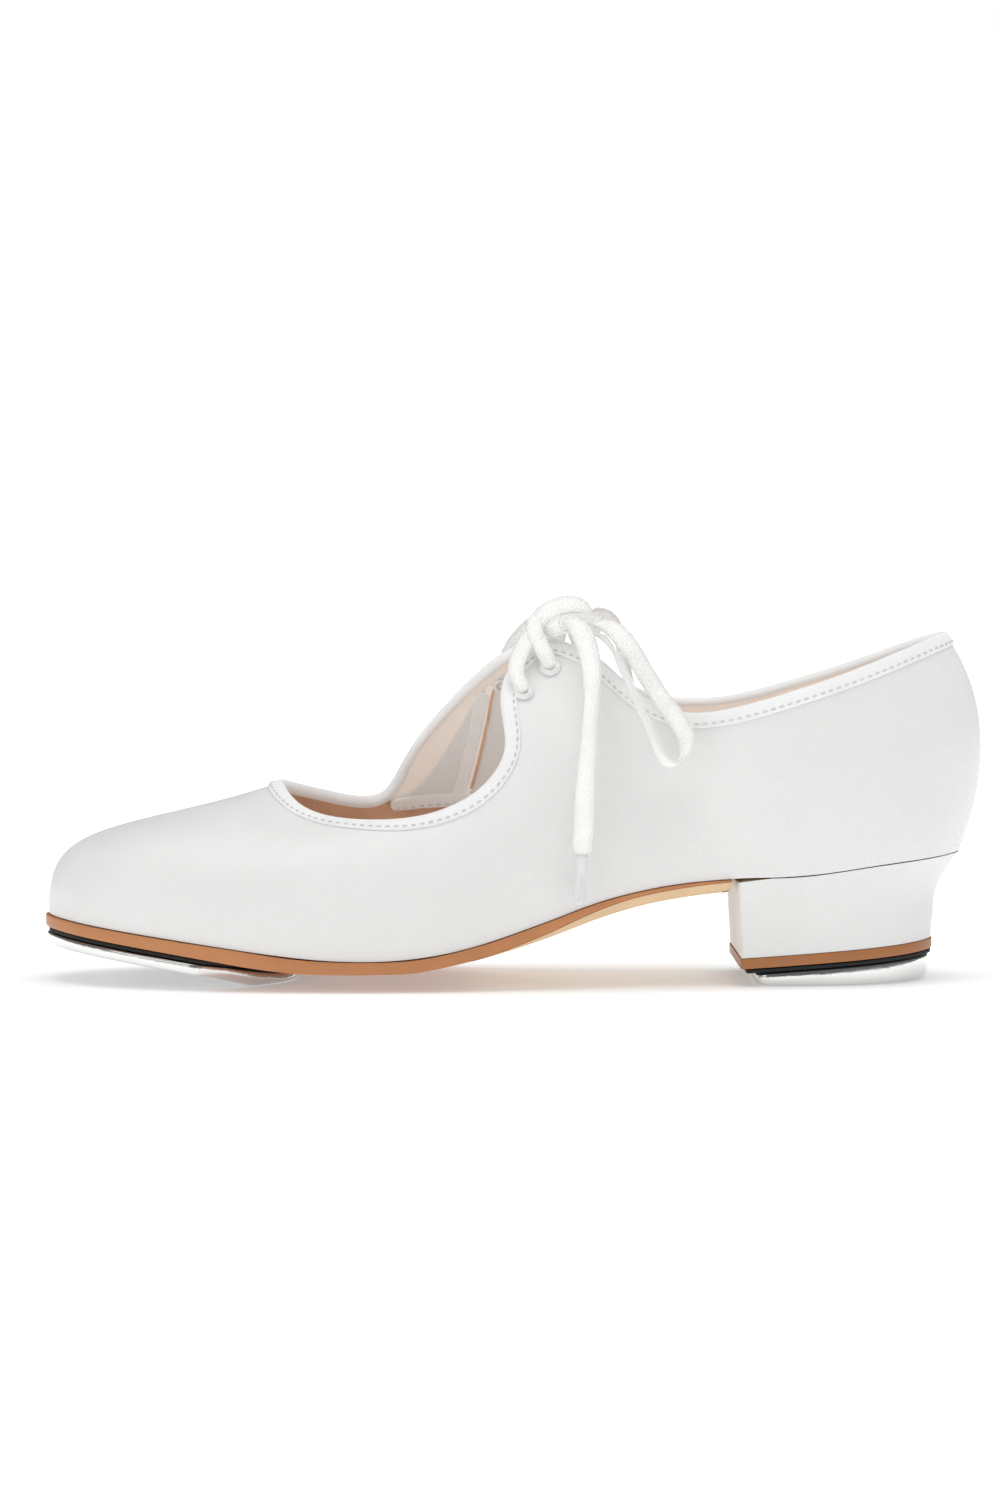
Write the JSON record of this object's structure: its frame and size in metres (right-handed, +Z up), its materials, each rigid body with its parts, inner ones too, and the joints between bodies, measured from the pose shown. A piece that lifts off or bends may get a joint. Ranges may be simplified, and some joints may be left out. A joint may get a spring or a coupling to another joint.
{
  "type": "tap shoe",
  "caption": "Low-heeled tie tap shoe: one-piece upper with an open throat, a bow tied through eyelets in two tabs, block heel, and metal taps screwed under toe and heel.",
  "frame": {"origin": "on the floor under the middle of the shoe's box, measured without the free lace", "axes": "+Z up, -X towards the toe, -Y towards the outer side of this left shoe"},
  "size_m": [0.2495, 0.0822, 0.1],
  "materials": {
    "white_coated_fabric": "smooth white coated fabric, satin",
    "white_binding_tape": "white folded tape with a row of stitches",
    "stiffener_board": "pressed fibre board",
    "tan_lining": "tan napped lining cloth",
    "cream_lining": "cream napped lining cloth",
    "cork_filler": "cork and resin filling",
    "steel": "zinc plated",
    "tan_sole": "tan resin sole with a stained edge",
    "lift_resin": "tan heel resin",
    "heel_wood": "turned heel block",
    "black_fibre_board": "black sounding board",
    "tap_aluminium": "polished cast aluminium",
    "white_lace": "flat woven lace",
    "clear_aglet": "clear heat-shrunk tip",
    "white_enamel": "white enamelled eyelet"
  },
  "bodies": {
    "shoe": {"bottom_filler": "cork_filler", "edge_binding": "white_binding_tape", "eyelet_inner_front": "white_enamel", "eyelet_inner_rear": "white_enamel", "eyelet_outer_front": "white_enamel", "eyelet_outer_rear": "white_enamel", "heel_core": "heel_wood", "heel_counter": "stiffener_board", "heel_cover": "white_coated_fabric", "heel_nail_1": "steel", "heel_nail_2": "steel", "heel_nail_3": "steel", "heel_nail_4": "steel", "heel_screw": "steel", "heel_sound_board": "black_fibre_board", "heel_tap": "tap_aluminium", "insole_board": "stiffener_board", "lace_knot": "white_lace", "lace_strand_inner_front": "white_lace", "lace_strand_inner_rear": "white_lace", "lace_strand_outer_front": "white_lace", "lace_strand_outer_rear": "white_lace", "outsole": "tan_sole", "quarter_lining": "cream_lining", "shank": "steel", "sock_lining": "cream_lining", "tab_facing_inner": "white_coated_fabric", "tab_facing_outer": "white_coated_fabric", "toe_puff": "stiffener_board", "toe_sound_board": "black_fibre_board", "toe_tap": "tap_aluminium", "toplift": "lift_resin", "upper": "white_coated_fabric", "vamp_lining": "tan_lining"},
    "outer_lace_end": {"lace_end_outer": "white_lace", "aglet_outer": "clear_aglet"},
    "inner_lace_end": {"lace_end_inner": "white_lace", "aglet_inner": "clear_aglet"},
    "outer_bow_loop": {"lace_loop_outer": "white_lace"},
    "inner_bow_loop": {"lace_loop_inner": "white_lace"},
    "toe_tap_screw_outer_body": {"toe_tap_screw_outer": "steel"},
    "toe_tap_screw_inner_body": {"toe_tap_screw_inner": "steel"},
    "toe_tap_screw_rear_body": {"toe_tap_screw_rear": "steel"},
    "heel_tap_screw_outer_body": {"heel_tap_screw_outer": "steel"},
    "heel_tap_screw_inner_body": {"heel_tap_screw_inner": "steel"},
    "heel_tap_screw_rear_body": {"heel_tap_screw_rear": "steel"}
  },
  "joints": [
    {"name": "outer_lace_end_swing", "type": "hinge", "parent": "shoe", "child": "outer_lace_end", "pos_m": [0.0145, -0.008, 0.0964], "axis": [-1, 0, 0], "range_deg": [0, 75]},
    {"name": "inner_lace_end_swing", "type": "hinge", "parent": "shoe", "child": "inner_lace_end", "pos_m": [0.012, 0.008, 0.0966], "axis": [1, 0, 0], "range_deg": [0, 75]},
    {"name": "outer_bow_loop_swing", "type": "hinge", "parent": "shoe", "child": "outer_bow_loop", "pos_m": [0.021, -0.0048, 0.0966], "axis": [-1, 0, 0], "range_deg": [0, 70]},
    {"name": "inner_bow_loop_swing", "type": "hinge", "parent": "shoe", "child": "inner_bow_loop", "pos_m": [0.0186, 0.0066, 0.096], "axis": [1, 0, 0], "range_deg": [0, 52]},
    {"name": "toe_tap_screw_outer_turn", "type": "hinge", "parent": "shoe", "child": "toe_tap_screw_outer_body", "pos_m": [-0.098, -0.015, 0.007], "axis": [0, 0, -1], "range_deg": [0, 360]},
    {"name": "toe_tap_screw_inner_turn", "type": "hinge", "parent": "shoe", "child": "toe_tap_screw_inner_body", "pos_m": [-0.098, 0.02, 0.007], "axis": [0, 0, -1], "range_deg": [0, 360]},
    {"name": "toe_tap_screw_rear_turn", "type": "hinge", "parent": "shoe", "child": "toe_tap_screw_rear_body", "pos_m": [-0.066, 0, 0.002], "axis": [0, 0, -1], "range_deg": [0, 360]},
    {"name": "heel_tap_screw_outer_turn", "type": "hinge", "parent": "shoe", "child": "heel_tap_screw_outer_body", "pos_m": [0.07, -0.016, 0.001], "axis": [0, 0, -1], "range_deg": [0, 360]},
    {"name": "heel_tap_screw_inner_turn", "type": "hinge", "parent": "shoe", "child": "heel_tap_screw_inner_body", "pos_m": [0.07, 0.016, 0.001], "axis": [0, 0, -1], "range_deg": [0, 360]},
    {"name": "heel_tap_screw_rear_turn", "type": "hinge", "parent": "shoe", "child": "heel_tap_screw_rear_body", "pos_m": [0.102, 0, 0.001], "axis": [0, 0, -1], "range_deg": [0, 360]}
  ]
}
